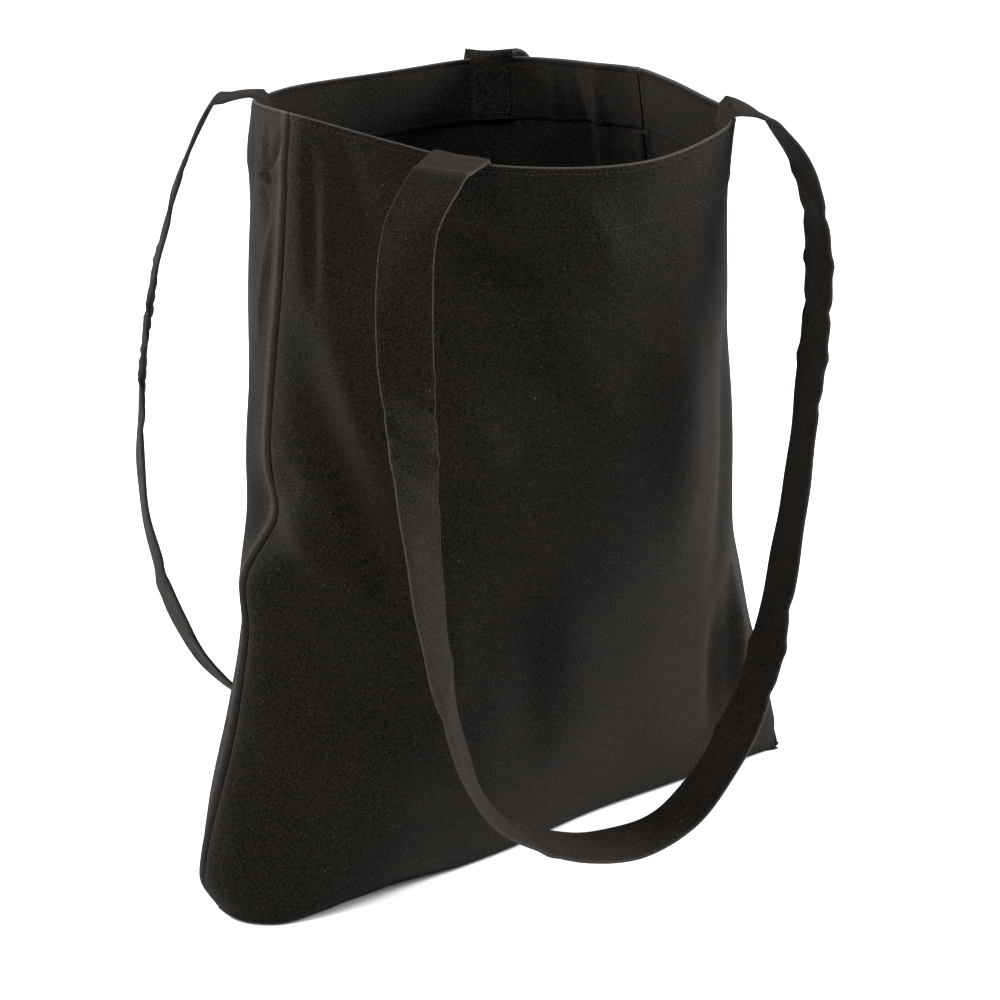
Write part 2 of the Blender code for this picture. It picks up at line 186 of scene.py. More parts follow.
BACK_ROUTE = [
    ((-0.098, 0.103, 0.411), (-0.70, -0.70, 0.03)),
    ((-0.116, 0.115, 0.401), (-0.66, -0.75, 0.00)),
    ((-0.126, 0.130, 0.362), (-0.60, -0.80, 0.00)),
    ((-0.141, 0.139, 0.295), (-0.58, -0.81, 0.00)),
    ((-0.149, 0.140, 0.224), (-0.50, -0.86, 0.00)),
    ((-0.145, 0.140, 0.165), (-0.35, -0.93, 0.00)),
    ((-0.121, 0.140, 0.098), (-0.15, -0.99, 0.00)),
    ((-0.076, 0.140, 0.050), (0.00, -1.00, 0.00)),
    ((-0.010, 0.140, 0.040), (0.00, -1.00, 0.00)),
    ((0.055, 0.140, 0.072), (-0.25, -0.96, 0.00)),
    ((0.096, 0.140, 0.140), (-0.61, -0.75, 0.00)),
    ((0.112, 0.139, 0.220), (-0.86, -0.49, 0.00)),
    ((0.119, 0.136, 0.300), (-0.95, 0.00, 0.00)),
    ((0.117, 0.133, 0.350), (-0.85, 0.45, 0.00)),
    ((0.099, 0.130, 0.386), (-0.70, 0.70, 0.00)),
    ((0.080, 0.121, 0.405), (-0.62, 0.78, 0.00)),
]

# soft creases: start and end as (share, share of height), half width as a share, depth in metres
CREASES = [
    ((0.018, 0.985), (0.030, 0.78), 0.0045, -0.0030),
    ((0.032, 0.93), (0.038, 0.80), 0.0060, 0.0030),
    ((0.044, 0.99), (0.062, 0.86), 0.0080, -0.0033),
    ((0.036, 0.78), (0.098, 0.55), 0.0150, 0.0063),
    ((0.036, 0.66), (0.104, 0.40), 0.0120, -0.0075),
    ((0.006, 0.52), (0.085, 0.42), 0.0110, 0.0048),
    ((0.004, 0.57), (0.030, 0.55), 0.0080, -0.0026),
    ((0.050, 0.36), (0.110, 0.22), 0.0170, -0.0054),
    ((0.018, 0.30), (0.075, 0.08), 0.0180, 0.0034),
    ((0.120, 0.72), (0.165, 0.58), 0.0200, 0.0060),
    ((0.115, 0.93), (0.185, 0.84), 0.0170, -0.0067),
    ((0.165, 0.80), (0.235, 0.62), 0.0190, -0.0057),
    ((0.200, 0.97), (0.240, 0.86), 0.0150, 0.0042),
    ((0.135, 0.44), (0.150, 0.26), 0.0150, 0.0045),
    ((0.190, 0.46), (0.225, 0.16), 0.0200, -0.0042),
    ((0.290, 0.88), (0.320, 0.40), 0.0240, 0.0048),
    ((0.360, 0.72), (0.372, 0.34), 0.0120, -0.0039),
    ((0.405, 0.34), (0.450, 0.10), 0.0065, 0.0078),
    ((0.385, 0.30), (0.425, 0.08), 0.0100, -0.0051),
    ((0.994, 0.985), (0.972, 0.90), 0.0030, -0.0030),
    ((0.958, 0.985), (0.976, 0.89), 0.0030, 0.0032),
    ((0.955, 0.90), (0.990, 0.935), 0.0032, 0.0034),
    ((0.948, 0.93), (0.982, 0.86), 0.0040, -0.0034),
    ((0.985, 0.87), (0.972, 0.72), 0.0045, 0.0026),
    ((0.955, 0.70), (0.965, 0.35), 0.0140, 0.0030),
    ((0.986, 0.02), (0.984, 0.34), 0.0090, 0.0045),
    ((0.600, 0.85), (0.590, 0.30), 0.0250, -0.0030),
    ((0.700, 0.70), (0.720, 0.15), 0.0300, 0.0035),
    ((0.800, 0.85), (0.790, 0.30), 0.0250, -0.0030),
    ((0.545, 0.99), (0.550, 0.80), 0.0060, -0.0030),
    ((0.568, 0.99), (0.560, 0.84), 0.0050, 0.0026),
    ((0.592, 0.99), (0.586, 0.88), 0.0050, -0.0026),
    ((0.900, 0.99), (0.905, 0.88), 0.0070, 0.0018),
    ((0.925, 0.99), (0.930, 0.88), 0.0060, -0.0018),
]

# slanting folds of a strap: share of its length, slant and half width in metres, depth
STRAP_FOLDS = [
    (0.115, 0.010, 0.0040, 0.0013),
    (0.165, 0.014, 0.0035, 0.0018),
    (0.185, 0.014, 0.0040, -0.0016),
    (0.206, 0.015, 0.0035, 0.0018),
    (0.228, 0.013, 0.0050, -0.0013),
    (0.340, -0.010, 0.0060, 0.0011),
    (0.445, -0.012, 0.0055, -0.0011),
    (0.620, -0.014, 0.0045, 0.0016),
    (0.645, -0.014, 0.0040, -0.0016),
    (0.668, -0.013, 0.0045, 0.0014),
    (0.800, 0.012, 0.0040, 0.0014),
    (0.826, 0.014, 0.0040, -0.0016),
    (0.850, 0.014, 0.0035, 0.0018),
    (0.874, 0.014, 0.0040, -0.0016),
    (0.898, 0.013, 0.0040, 0.0016),
]

CAMERA_PLACE = (-1.262, -1.604, 0.853)
CAMERA_FORWARD = (0.5844, 0.7504, -0.3090)
CAMERA_LENS = 144.0

# softboxes: name, place, point aimed at, size in metres, power in watts
BAG_MIDDLE = (0.0, 0.0, 0.2)
LIGHTS = [
    ("overhead", (0.6, 0.9, 3.2), (0.6, 0.9, 0.0), 6.0, 135.0),
    ("right", (2.10, -0.78, 1.0), BAG_MIDDLE, 1.0, 172.0),
    ("left", (-1.15, 2.0, 0.9), BAG_MIDDLE, 1.0, 130.0),
    ("upper_left", (-1.6, -0.10, 2.0), BAG_MIDDLE, 0.7, 48.0),
]
WORLD_STRENGTH = 0.35
FLOOR_SIZE = 14.0

# cloth colours, linear: the hollows between yarns, the yarns' tops, lint, a painted highlight on rims, seam
# ridges and strap edges, sheen
YARN_PITCH = 0.00062
CANVAS_DARK = (0.0006, 0.0005, 0.0004)
CANVAS_LIGHT = (0.0184, 0.0152, 0.0118)
CANVAS_SHEEN = 0.014
STRAP_DARK = (0.0007, 0.0006, 0.0005)
STRAP_LIGHT = (0.0194, 0.0160, 0.0125)
STRAP_SHEEN = 0.016
LINT_COLOUR = (0.075, 0.068, 0.062)
PAINTED_HIGHLIGHT_COLOUR = (0.110, 0.100, 0.093)
SHEEN_TINT = (0.92, 0.76, 0.64)
THREAD_DARK = (0.010, 0.009, 0.008)
THREAD_LIGHT = (0.026, 0.023, 0.021)
# strength of the painted highlight on the rim roll, beside the side seams and along the strap edges
RIM_HIGHLIGHT = 0.5
SEAM_HIGHLIGHT = 0.15
STRAP_EDGE_HIGHLIGHT = 0.4


# ---------------------------------------------------------------- lines and surfaces

def smooth_line(points, before, after):
    """A dense line through points. before and after are the next points past its ends."""
    knots = np.array([before, *points, after], float)
    t = np.arange(LINE_STEPS)[:, None] / LINE_STEPS
    pieces = []
    for a, b, c, d in zip(knots, knots[1:], knots[2:], knots[3:]):
        cubic = (3 * b - a - 3 * c + d) * t**3 + (2 * a - 5 * b + 4 * c - d) * t**2
        pieces.append(0.5 * (2 * b + (c - a) * t + cubic))
    pieces.append(knots[-2:-1])
    return np.vstack(pieces)


def line_lengths(line):
    steps = np.linalg.norm(np.diff(line[:, :3], axis=0), axis=1)
    return np.concatenate([[0.0], np.cumsum(steps)])


def read_line(line, lengths, at):
    """Every column of a line, read at lengths along it."""
    return np.stack([np.interp(at, lengths, line[:, k]) for k in range(line.shape[1])], -1)


class Outline:
    """A closed outline in two halves, read by its share of the round trip."""

    def __init__(self, front, back):
        self.halves = []
        for half, other in ((front, back), (back, front)):
            line = smooth_line(half, other[-2], other[1])
            self.halves.append((line, line_lengths(line)))

    def at(self, share):
        share = np.asarray(share, float) % 1.0
        read = []
        for number, (line, lengths) in enumerate(self.halves):
            read.append(read_line(line, lengths, (share - 0.5 * number) * 2 * lengths[-1]))
        return np.where((share < 0.5)[..., None], *read)

    def length(self):
        return sum(lengths[-1] for _, lengths in self.halves)


RIM = Outline(FRONT_RIM, BACK_RIM)
LOOPS = [Outline(front, back) for _, front, back in SECTIONS] + [RIM]
RISES = np.array([rise for rise, _, _ in SECTIONS] + [1.0])


def beside_left_seam(share):
    return (np.asarray(share, float) + 0.5) % 1.0 - 0.5


def buckle(share, rise):
    near = np.exp(-((beside_left_seam(share) / BUCKLE_SHARE) ** 2))
    dent = DENT_DEPTH * np.exp(-(((rise - DENT_RISE) / BUCKLE_HEIGHT) ** 2))
    bulge = BULGE_DEPTH * np.exp(-(((rise - BULGE_RISE) / BUCKLE_HEIGHT) ** 2))
    return near * (bulge - dent)


def wall(share, rise):
    """Points of the bag's outer face: share runs round from the left seam, rise from floor to rim."""
    share, rise = np.broadcast_arrays(np.asarray(share, float), np.asarray(rise, float))
    flat = [loop.at(share)[..., :2] for loop in LOOPS]
    found = np.zeros(share.shape + (2,))
    for i in range(len(RISES) - 1):
        span = RISES[i + 1] - RISES[i]
        slopes = []
        for k in (i, i + 1):
            low, high = max(k - 1, 0), min(k + 1, len(RISES) - 1)
            slopes.append((flat[high] - flat[low]) / (RISES[high] - RISES[low]) * span)
        t = ((rise - RISES[i]) / span)[..., None]
        curve = flat[i] * (2 * t**3 - 3 * t**2 + 1) + flat[i + 1] * (3 * t**2 - 2 * t**3)
        curve = curve + slopes[0] * (t**3 - 2 * t**2 + t) + slopes[1] * (t**3 - t**2)
        inside = (rise >= RISES[i]) & (rise <= RISES[i + 1])
        if i == len(RISES) - 2:
            inside = rise >= RISES[i]
        found = np.where(inside[..., None], curve, found)
    x = found[..., 0] - buckle(share, rise)
    z = RIM.at(share)[..., 2] * rise
    return np.stack([x, found[..., 1], z], -1)


def unit(vectors):
    return vectors / np.maximum(np.linalg.norm(vectors, axis=-1, keepdims=True), 1e-12)


def wall_normal(share, rise):
    step = 0.003
    around = wall(share + step, rise) - wall(share - step, rise)
    upward = wall(share, np.minimum(rise + step, 1.0)) - wall(share, np.maximum(rise - step, 0.0))
    return unit(np.cross(around, upward))


def rise_below_rim(share, depth):
    return 1.0 - depth / RIM.at(share)[..., 2]


def crease_relief(share, rise):
    """Soft folds that the standing canvas has taken, as a distance out from the wall."""
    total = np.zeros(np.broadcast(share, rise).shape)
    aspect = BAG_HEIGHT / (2 * BAG_WIDTH)
    for (s0, r0), (s1, r1), width, depth in CREASES:
        along = np.array([s1 - s0, (r1 - r0) * aspect])
        ds = (share - s0 + 0.5) % 1.0 - 0.5
        dr = (rise - r0) * aspect
        t = np.clip((ds * along[0] + dr * along[1]) / (along @ along), 0.0, 1.0)
        away = np.hypot(ds - t * along[0], dr - t * along[1])
        fade = np.sin(np.pi * np.clip(0.08 + 0.84 * t, 0.0, 1.0))
        total = total + depth * fade * np.exp(-((away / width) ** 2))
    return total


def undulation(share, rise):
    """Broad unevenness of soft cloth: a few slow waves that never line up."""
    u, v = share * 2 * math.pi, rise * 2 * math.pi
    wave = np.sin(3 * u + 1.3 * v + 0.4) * np.sin(1.7 * v + 0.9)
    wave = wave + 0.6 * np.sin(7 * u - 2.1 * v + 2.0) * np.sin(2.3 * v + 2.2)
    wave = wave + 0.35 * np.sin(13 * u + 3.3 * v + 1.1)
    return 0.0007 * wave


def hem_step(share, rise):
    """The hem's three layers stand out from the single cloth under them."""
    depth = (1.0 - rise) * RIM.at(share)[..., 2]
    return HEM_STEP / (1.0 + np.exp((depth - HEM_DEPTH) / 0.0012))


def seam_shape(share, rise, is_front):
    """The panels beside a side seam: the front one tucks in, and the back one rolls up to a ridge."""
    away = np.minimum(abs(beside_left_seam(share)), abs(beside_left_seam(share + 0.5))) * RIM.length()
    below = np.clip((1.0 - rise) * BAG_HEIGHT / 0.006, 0.0, 1.0) * np.clip(rise / 0.05, 0.0, 1.0)
    if is_front:
        return -0.0015 * below * np.exp(-((away / 0.0014) ** 2))
    ridge = 0.0014 * np.exp(-(((away - 0.0019) / 0.0016) ** 2))
    return ridge * (0.5 + 0.5 * below) - 0.0015 * below * np.exp(-((away / 0.0007) ** 2))


def relief(share, rise, is_front):
    settle = np.clip(rise / 0.06, 0.0, 1.0)
    near_rim = np.clip((1.0 - rise) / 0.05, 0.0, 1.0)
    folds = (crease_relief(share, rise) * (0.35 + 0.65 * near_rim) + undulation(share, rise)) * settle
    return folds + hem_step(share, rise) + seam_shape(share, rise, is_front)


# ---------------------------------------------------------------- mesh helpers

def object_from(name, points, faces, uvs=None, painted_highlight=None):
    """A smooth mesh object, with an optional per-point strength of painted highlight, from 0 to 1."""
    mesh = bpy.data.meshes.new(name)
    mesh.from_pydata([tuple(p) for p in points], [], faces)
    if painted_highlight is not None:
        highlight_attribute = mesh.attributes.new("painted_highlight", "FLOAT", "POINT")
        highlight_attribute.data.foreach_set("value", np.asarray(painted_highlight, np.float32).ravel())
    if uvs is not None:
        layer = mesh.uv_layers.new(name="cloth")
        for loop in mesh.loops:
            layer.data[loop.index].uv = uvs[loop.vertex_index]
    mesh.update()
    mesh.shade_smooth()
    piece = bpy.data.objects.new(name, mesh)
    bpy.context.scene.collection.objects.link(piece)
    return piece


def grid_faces(rows, columns, closed=False):
    faces = []
    wrap = columns if closed else columns - 1
    for r in range(rows - 1):
        for c in range(wrap):
            d = (c + 1) % columns
            faces.append((r * columns + c, r * columns + d, (r + 1) * columns + d, (r + 1) * columns + c))
    return faces


def swept(name, sections, uvs, painted_highlight=None):
    """A closed tube through sections, each a ring of points, with flat ends."""
    rows, columns = sections.shape[:2]
    faces = grid_faces(rows, columns, closed=True)
    faces.append(tuple(range(columns))[::-1])
    faces.append(tuple((rows - 1) * columns + c for c in range(columns)))
    piece = object_from(name, sections.reshape(-1, 3), faces, uvs.reshape(-1, 2), painted_highlight)
    shape = bmesh.new()
    shape.from_mesh(piece.data)
    bmesh.ops.recalc_face_normals(shape, faces=shape.faces[:])
    shape.to_mesh(piece.data)
    shape.free()
    piece.data.set_sharp_from_angle(angle=math.radians(62))
    return piece


def thicken(piece, thickness):
    modifier = piece.modifiers.new("cloth", "SOLIDIFY")
    modifier.thickness = thickness
    modifier.offset = -1.0
    return piece


def stitches(name, centres, directions, outs, length, radius=THREAD):
    """Separate stitches, each a small spindle of thread lying on the cloth."""
    rings = [(-1.0, 0.25, -0.6), (-0.75, 0.85, 0.0), (0.0, 1.0, 0.35), (0.75, 0.85, 0.0), (1.0, 0.25, -0.6)]
    sides = 6
    points, faces = [], []
    for centre, direction, out in zip(centres, unit(directions), unit(outs)):
        across = np.cross(direction, out)
        first = len(points)
        for along, size, lift in rings:
            base = centre + direction * along * length / 2 + out * lift * radius
            for k in range(sides):
                angle = 2 * math.pi * k / sides
                points.append(base + (across * math.cos(angle) + out * math.sin(angle)) * radius * size)
        for r in range(len(rings) - 1):
            for k in range(sides):
                a, b = first + r * sides + k, first + r * sides + (k + 1) % sides
                faces.append((a, a + sides, b + sides, b))
        faces.append(tuple(first + k for k in range(sides)))
        last = first + (len(rings) - 1) * sides
        faces.append(tuple(last + k for k in reversed(range(sides))))
    return object_from(name, points, faces)


def finish_piece(piece, body, material, nodes=()):
    piece.data.materials.append(material)
    if body:
        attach(piece, body)
    if nodes:
        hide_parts(*nodes)
    return piece


# ---------------------------------------------------------------- materials

def new_material(name):
    material = bpy.data.materials.new(name)
    material.use_nodes = True
    nodes, links = material.node_tree.nodes, material.node_tree.links
    return material, nodes, links, nodes["Principled BSDF"]


def math_node(nodes, links, operation, first, second=0.0, clamp=False):
    node = nodes.new("ShaderNodeMath")
    node.operation = operation
    node.use_clamp = clamp
    for socket, value in zip(node.inputs, (first, second)):
        if isinstance(value, (int, float)):
            socket.default_value = value
        else:
            links.new(value, socket)
    return node.outputs[0]


def noise_node(nodes, links, coordinates, scale, detail, roughness=0.5):
    node = nodes.new("ShaderNodeTexNoise")
    node.inputs["Scale"].default_value = scale
    node.inputs["Detail"].default_value = detail
    node.inputs["Roughness"].default_value = roughness
    links.new(coordinates, node.inputs["Vector"])
    return node.outputs["Fac"]


def ramp_node(nodes, links, value, stops):
    node = nodes.new("ShaderNodeValToRGB")
    while len(node.color_ramp.elements) < len(stops):
        node.color_ramp.elements.new(0.5)
    for element, (place, colour) in zip(node.color_ramp.elements, stops):
        element.position = place
        element.color = (*colour, 1.0)
    links.new(value, node.inputs["Fac"])
    return node.outputs["Color"]


def mix_node(nodes, links, factor, first, second):
    """The first colour socket, turning into the second colour as the factor rises."""
    node = nodes.new("ShaderNodeMix")
    node.data_type = "RGBA"
    links.new(factor, node.inputs["Factor"])
    links.new(first, node.inputs["A"])
    node.inputs["B"].default_value = (*second, 1.0)
    return node.outputs["Result"]


def stretched(nodes, links, coordinates, scale):
    node = nodes.new("ShaderNodeMapping")
    node.inputs["Scale"].default_value = scale
    links.new(coordinates, node.inputs["Vector"])
    return node.outputs["Vector"]


def canvas_material(name, dark, light, sheen):
    """Plain-woven cotton: over-and-under yarns, uneven slubs, mottled dye and a few pale specks of lint."""
    material, nodes, links, shader = new_material(name)
    place = nodes.new("ShaderNodeTexCoord")
    cloth = place.outputs["UV"]
    solid = place.outputs["Object"]

    split = nodes.new("ShaderNodeSeparateXYZ")
    links.new(cloth, split.inputs[0])
    turns = math.pi / YARN_PITCH
    warp = math_node(nodes, links, "SINE", math_node(nodes, links, "MULTIPLY", split.outputs[0], turns))
    weft = math_node(nodes, links, "SINE", math_node(nodes, links, "MULTIPLY", split.outputs[1], turns))
    over = math_node(nodes, links, "MULTIPLY", warp, weft)
    weave = math_node(nodes, links, "ABSOLUTE", over)

    slub_up = noise_node(nodes, links, stretched(nodes, links, cloth, (1500.0, 420.0, 1.0)), 1.0, 1.0)
    slub_across = noise_node(nodes, links, stretched(nodes, links, cloth, (420.0, 1500.0, 1.0)), 1.0, 1.0)
    slubs = math_node(nodes, links, "ADD", slub_up, slub_across)
    fuzz = noise_node(nodes, links, solid, 1150.0, 2.0, 0.75)
    patches = noise_node(nodes, links, solid, 11.0, 4.0, 0.6)

    tone = math_node(nodes, links, "MULTIPLY", slubs, 0.40)
    tone = math_node(nodes, links, "ADD", tone, math_node(nodes, links, "MULTIPLY", fuzz, 1.90))
    tone = math_node(nodes, links, "ADD", tone, math_node(nodes, links, "MULTIPLY", patches, 0.30))
    tone = math_node(nodes, links, "SUBTRACT", tone, 1.02, clamp=True)
    colour = ramp_node(nodes, links, tone, [(0.24, dark), (0.90, light)])

    specks = noise_node(nodes, links, solid, 1000.0, 0.0)
    lint = math_node(nodes, links, "MULTIPLY", math_node(nodes, links, "SUBTRACT", specks, 0.80), 8.0, True)
    colour = mix_node(nodes, links, lint, colour, LINT_COLOUR)

    # painted highlight: the per-point strength, broken up by the fuzz noise, turns the colour towards a pale
    # tone
    highlight_attribute = nodes.new("ShaderNodeAttribute")
    highlight_attribute.attribute_name = "painted_highlight"
    highlight_fuzz = math_node(nodes, links, "ADD", fuzz, 0.15)
    highlight_amount = math_node(nodes, links, "MULTIPLY", highlight_attribute.outputs["Fac"], highlight_fuzz)
    colour = mix_node(nodes, links, highlight_amount, colour, PAINTED_HIGHLIGHT_COLOUR)
    links.new(colour, shader.inputs["Base Color"])

    rough = math_node(nodes, links, "MULTIPLY_ADD", fuzz, 0.12)
    rough.node.inputs[2].default_value = 0.86
    links.new(rough, shader.inputs["Roughness"])

    height = math_node(nodes, links, "MULTIPLY", weave, 0.40)
    height = math_node(nodes, links, "ADD", height, math_node(nodes, links, "MULTIPLY", slubs, 0.60))
    height = math_node(nodes, links, "ADD", height, math_node(nodes, links, "MULTIPLY", fuzz, 0.80))
    bump = nodes.new("ShaderNodeBump")
    bump.inputs["Strength"].default_value = 0.9
    bump.inputs["Distance"].default_value = 0.0005
    links.new(height, bump.inputs["Height"])
    links.new(bump.outputs["Normal"], shader.inputs["Normal"])

    shader.inputs["Sheen Weight"].default_value = sheen
    shader.inputs["Sheen Roughness"].default_value = 0.30
    shader.inputs["Sheen Tint"].default_value = (*SHEEN_TINT, 1.0)
    shader.inputs["Specular IOR Level"].default_value = 0.06
    return material


def thread_material():
    """Spun thread: a twist along its length, near the cloth's own tone."""
    material, nodes, links, shader = new_material("thread_spun")
    place = nodes.new("ShaderNodeTexCoord")
    twist = nodes.new("ShaderNodeTexWave")
    twist.inputs["Scale"].default_value = 900.0
    twist.inputs["Distortion"].default_value = 1.5
    links.new(place.outputs["Object"], twist.inputs["Vector"])
    shades = [(0.2, THREAD_DARK), (0.8, THREAD_LIGHT)]
    links.new(ramp_node(nodes, links, twist.outputs["Fac"], shades), shader.inputs["Base Color"])
    bump = nodes.new("ShaderNodeBump")
    bump.inputs["Strength"].default_value = 0.5
    bump.inputs["Distance"].default_value = 0.0002
    links.new(twist.outputs["Fac"], bump.inputs["Height"])
    links.new(bump.outputs["Normal"], shader.inputs["Normal"])
    shader.inputs["Roughness"].default_value = 0.85
    shader.inputs["Sheen Weight"].default_value = 0.02
    shader.inputs["Specular IOR Level"].default_value = 0.08
    return material


# ---------------------------------------------------------------- the canvas body

def middle_line(share):
    """The fold under the bag, halfway between its front and back bottom edges."""
    return (LOOPS[0].at(share) + LOOPS[0].at(1.0 - np.asarray(share))) / 2


def rolled_under(share):
    """How far the front's lower edge is rolled under, from 0 to 1.

    It is rolled under only at the left, where the belly leans out.
    """
    share = np.asarray(share, float) % 1.0
    return np.clip((share - 0.05) / 0.05, 0.0, 1.0) * np.clip((0.20 - share) / 0.06, 0.0, 1.0)


def panel_points(shares, is_front):
    """Rows of one panel: from the bottom fold out under the bag, up the wall, and over the rim."""
    rows = []
    base = LOOPS[0].at(shares)[..., :2]
    middle = middle_line(shares)[..., :2]
    lift = rolled_under(shares)
    crease = LIFTED_CREASE * lift + PRESSED_CREASE
    foot = crease / RIM.at(shares)[..., 2]
    inward = unit(middle - base) * (0.0012 + 0.0085 * lift)[:, None]
    contact = base + inward
    for t in (0.0, 0.25, 0.5, 0.75, 0.9, 1.0):
        flat = middle + (contact - middle) * t
        rows.append(np.column_stack([flat, np.full(len(flat), FLOOR_GAP)]))
    for t in (0.35, 0.7, 0.93):
        side = contact + (base - contact) * t**0.7
        rows.append(np.column_stack([side, FLOOR_GAP + (crease - FLOOR_GAP) * t]))
    for k in range(WALL_ROWS + 1):
        top = rise_below_rim(shares, RIM_ROLL)
        rise = foot + (top - foot) * (k / WALL_ROWS) ** 1.1
        rows.append(wall(shares, rise) + wall_normal(shares, rise) * relief(shares, rise, is_front)[:, None])
    top = rows[-1]
    out = wall_normal(shares, rise_below_rim(shares, 0.004))
    for k in range(1, ROLL_STEPS + 1):
        angle = math.pi * k / ROLL_STEPS
        upward = np.array([0.0, 0.0, math.sin(angle) * RIM_ROLL])
        rows.append(top - out * RIM_ROLL * (1 - math.cos(angle)) + upward)
    rows.append(rows[-1] - np.array([0.0, 0.0, 0.0022]))
    return np.stack(rows)


def cloth_uvs(points, shares):
    """Where each point lies on the flat cloth, in metres."""
    steps = np.linalg.norm(np.diff(points, axis=0), axis=2)
    up = np.vstack([np.zeros(points.shape[1]), np.cumsum(steps, axis=0)])
    across = np.broadcast_to(shares * RIM.length(), up.shape)
    return np.stack([across, up], -1)


def make_panel(name, first, is_front, node):
    shares = np.linspace(first, first + 0.5, PANEL_COLUMNS + 1)
    points = panel_points(shares, is_front)
    rows, columns = points.shape[:2]
    uvs = cloth_uvs(points, shares).reshape(-1, 2)
    painted_highlight = np.zeros((rows, columns))
    # painted highlight on the rim roll and on the seam ridges beside each side seam
    painted_highlight[-ROLL_STEPS - 1:-2] = RIM_HIGHLIGHT
    ridge = 1 if is_front else 4
    for beside in (slice(None, ridge), slice(-ridge, None)):
        painted_highlight[12:, beside] += SEAM_HIGHLIGHT
    piece = object_from(name, points.reshape(-1, 3), grid_faces(rows, columns), uvs, painted_highlight)
    thicken(piece, CLOTH)
    return finish_piece(piece, "bag", CANVAS, [node])


def make_hem(name, first, is_front, node):
    """The turned-in band inside the rim, two layers thick, with a rounded lower edge."""
    shares = np.linspace(first + 0.0015, first + 0.4985, PANEL_COLUMNS + 1)
    outer = 2 * RIM_ROLL - CLOTH - 0.0002
    inner = 2 * RIM_ROLL + 0.0001
    profile = [
        (0.0032, outer), (0.0120, outer), (0.0240, outer), (HEM_DEPTH - 0.0015, outer - 0.0002),
        (HEM_DEPTH, (outer + inner) / 2), (HEM_DEPTH - 0.0012, inner + 0.0006),
        (0.0240, inner + 0.0003), (0.0120, inner + 0.0002), (0.0032, inner),
    ]
    sections, uvs = [], []
    for depth, inward in profile:
        rise = rise_below_rim(shares, depth)
        out = wall_normal(shares, rise)
        cloth = relief(shares, rise, is_front) - hem_step(shares, rise) + HEM_STEP
        cloth = cloth - seam_shape(shares, rise, is_front)
        sections.append(wall(shares, rise) + out * (cloth - inward)[:, None])
        uvs.append(np.column_stack([shares * RIM.length(), np.full(len(shares), depth)]))
    piece = swept(name, np.stack(sections, 1), np.stack(uvs, 1))
    return finish_piece(piece, "bag", CANVAS, [node])


def make_side_seam(name, share, node):
    """The sewn allowance inside a side seam: two raw edges that lie over on the back panel."""
    turn = 1.0 if share == 0.5 else -1.0
    round_trip = RIM.length()
    rises = np.linspace(0.05, 1.0, 90)
    rises = rises * rise_below_rim(np.array(share), HEM_DEPTH + 0.001)
    section = [
        (0.0002, 0.0012), (0.5, 0.0014), (0.97, 0.0013), (1.0, 0.0021),
        (0.97, 0.0030), (0.5, 0.0031), (0.0002, 0.0034), (-0.06, 0.0024),
    ]
    sections, uvs = [], []
    for k, rise in enumerate(rises):
        uneven = 0.0004 * math.sin(k * 1.9) + 0.0003 * math.sin(k * 0.7 + 1.0)
        ring = []
        for across, inward in section:
            here = np.array(share + turn * across * (SEAM_ALLOWANCE + uneven) / round_trip)
            ring.append(wall(here, np.array(rise)) - wall_normal(here, np.array(rise)) * inward)
        sections.append(ring)
        uvs.append([(c * 0.003, rise * BAG_HEIGHT) for c in range(len(ring))])
    piece = swept(name, np.array(sections), np.array(uvs))
    return finish_piece(piece, "bag", CANVAS, [node])


def make_bottom_fold():
    """The pressed fold along the bottom, a thin roll of cloth under the middle of the bag."""
    half_width, middle, half_height, sides = 0.0030, 0.00085, 0.00075, 8
    sections, uvs = [], []
    for share in np.linspace(0.004, 0.496, 120):
        centre = middle_line(np.array(share))
        ring = []
        for k in range(sides):
            angle = 2 * math.pi * k / sides
            y = centre[1] + half_width * math.cos(angle)
            ring.append((centre[0], y, middle + half_height * math.sin(angle)))
        sections.append(ring)
        uvs.append([(share * BAG_WIDTH * 2, k * 0.001) for k in range(sides)])
    piece = swept("bottom_fold_canvas", np.array(sections), np.array(uvs))
    return finish_piece(piece, "bag", CANVAS, ["bottom_fold"])


def hem_stitches(name, first, is_front, node):
    """Rows of stitches through the hem: outside and inside at its lower edge, and one close under the rim."""
    half = RIM.length() / 2
    count = int(half / STITCH_PITCH)
    shares = first + (np.arange(count) + 0.5) / count * 0.5
    shares = shares[(shares > first + 0.004) & (shares < first + 0.496)]
    groups = []
    rows = (
        (HEM_ROW_DEPTH, 0.00022, 1.0), (HEM_ROW_DEPTH, -(2 * RIM_ROLL + 0.00055), -1.0),
        (RIM_ROW_DEPTH, 0.00015, 1.0),
    )
    for depth, lift, side in rows:
        waver = 0.00025 * np.sin(shares * 190.0) + 0.0002 * np.sin(shares * 77.0 + 1.0)
        rise = rise_below_rim(shares, depth + waver)
        out = wall_normal(shares, rise)
        shape = relief(shares, rise, is_front)
        if side < 0:
            shape = shape - hem_step(shares, rise) + HEM_STEP
        centre = wall(shares, rise) + out * (shape + lift)[:, None]
        direction = wall(shares + 0.001, rise) - wall(shares - 0.001, rise)
        groups.append((centre, direction, out * side))
    centres, directions, outs = (np.vstack([group[k] for group in groups]) for k in range(3))
    piece = stitches(name, centres, directions, outs, STITCH_PITCH * STITCH_SHARE)
    return finish_piece(piece, "bag", THREAD_SPUN, [node])


# ---------------------------------------------------------------- straps

def sewn_frames(share, is_front):
    """Centre and width direction of a strap's sewn end, from its lower edge up to the rim."""
    frames = []
    for depth in SEWN_DEPTHS:
        rise = rise_below_rim(np.array(share), depth)
        out = wall_normal(np.array(share), rise)
        cloth = float(relief(np.array([share]), np.array([rise]), is_front)[0])
        inward = 2 * RIM_ROLL + STRAP_THICKNESS / 2 + SEWN_GAP
        across = wall(np.array(share + 0.01), rise) - wall(np.array(share - 0.01), rise)
        frames.append((wall(np.array(share), rise) + out * (cloth - inward), unit(across)))
    return frames


